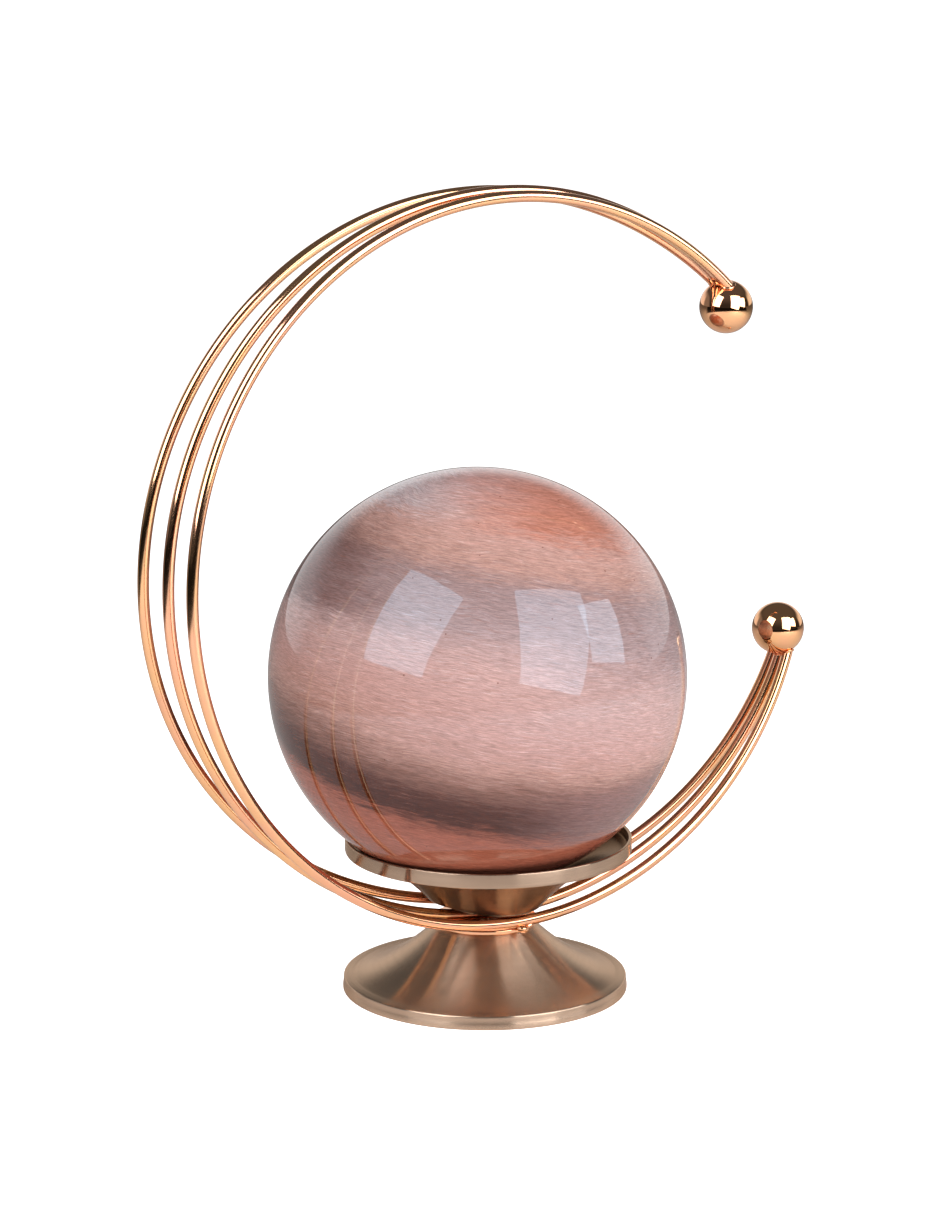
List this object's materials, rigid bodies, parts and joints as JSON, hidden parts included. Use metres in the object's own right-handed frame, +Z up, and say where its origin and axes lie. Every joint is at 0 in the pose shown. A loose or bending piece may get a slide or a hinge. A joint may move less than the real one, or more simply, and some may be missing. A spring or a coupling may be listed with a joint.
{
  "type": "decorative sphere",
  "caption": "Glossy marbled ball resting in a brushed bronze cup inside an open crescent of slim rose-gold rods with ball tips, on a flared round foot.",
  "frame": {"origin": "centre of the foot's flat underside", "axes": "+Z up along the foot's axis, +X from the foot's axis toward the crescent's open mouth, crescent in the XZ plane"},
  "size_m": [0.2618, 0.15, 0.2911],
  "materials": {
    "foot_bronze": "brushed antique bronze, turned grain",
    "cup_bronze": "brushed antique bronze, turned grain",
    "washer_rose_gold": "polished rose gold",
    "front_rod_rose_gold": "polished rose gold",
    "middle_rod_rose_gold": "polished rose gold",
    "back_rod_rose_gold": "polished rose gold",
    "upper_ball_rose_gold": "polished rose gold",
    "lower_ball_rose_gold": "polished rose gold",
    "screw_steel": "plain steel, hidden",
    "marbled_gloss": "opaque marbled bands of pink, lavender, terracotta and brown under a high gloss"
  },
  "bodies": {
    "root": {"foot": "foot_bronze", "neck_washer": "washer_rose_gold", "rod_front": "front_rod_rose_gold", "rod_middle": "middle_rod_rose_gold", "rod_back": "back_rod_rose_gold", "ball_upper": "upper_ball_rose_gold", "ball_lower": "lower_ball_rose_gold", "cup": "cup_bronze", "clamp_screw": "screw_steel", "sphere": "marbled_gloss"}
  },
  "joints": []
}
